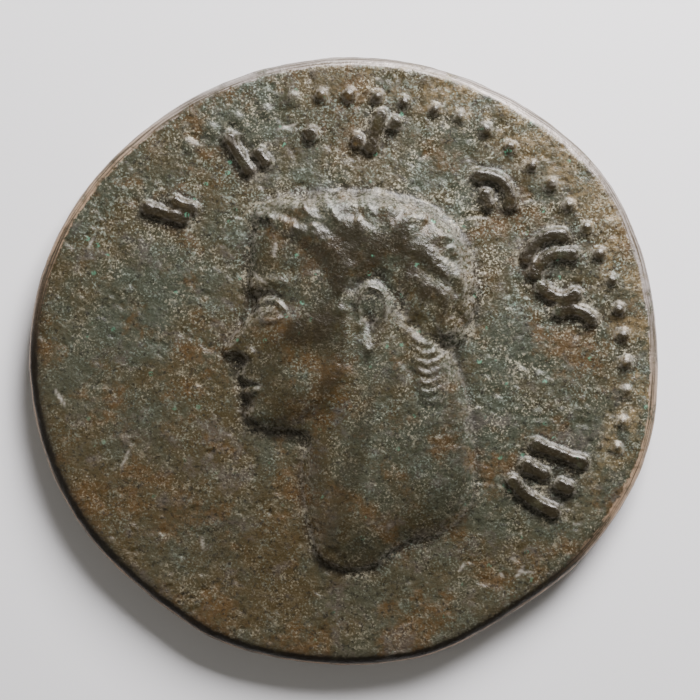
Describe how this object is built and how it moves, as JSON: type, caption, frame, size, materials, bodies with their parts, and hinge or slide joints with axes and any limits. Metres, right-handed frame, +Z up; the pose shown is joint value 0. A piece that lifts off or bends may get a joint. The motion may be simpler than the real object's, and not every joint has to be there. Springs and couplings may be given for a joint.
{
  "type": "ancient bronze coin",
  "caption": "Worn struck bronze coin: an irregular round flan, a head facing left in relief, worn strokes and a dotted border, and a wreath below.",
  "frame": {"origin": "under the middle of the coin's box, on the plane that it lies on", "axes": "+Z up through the coin, out of the side with the head; +Y towards the top of the head; +X to the right of it, along the widest diameter"},
  "size_m": [0.0288, 0.0278, 0.0029],
  "materials": {
    "bronze": "struck bronze under a mottled dark brown and grey-green patina, satin where handling wore it, with crusty recesses"
  },
  "bodies": {
    "root": {"coin": "bronze"}
  },
  "joints": []
}
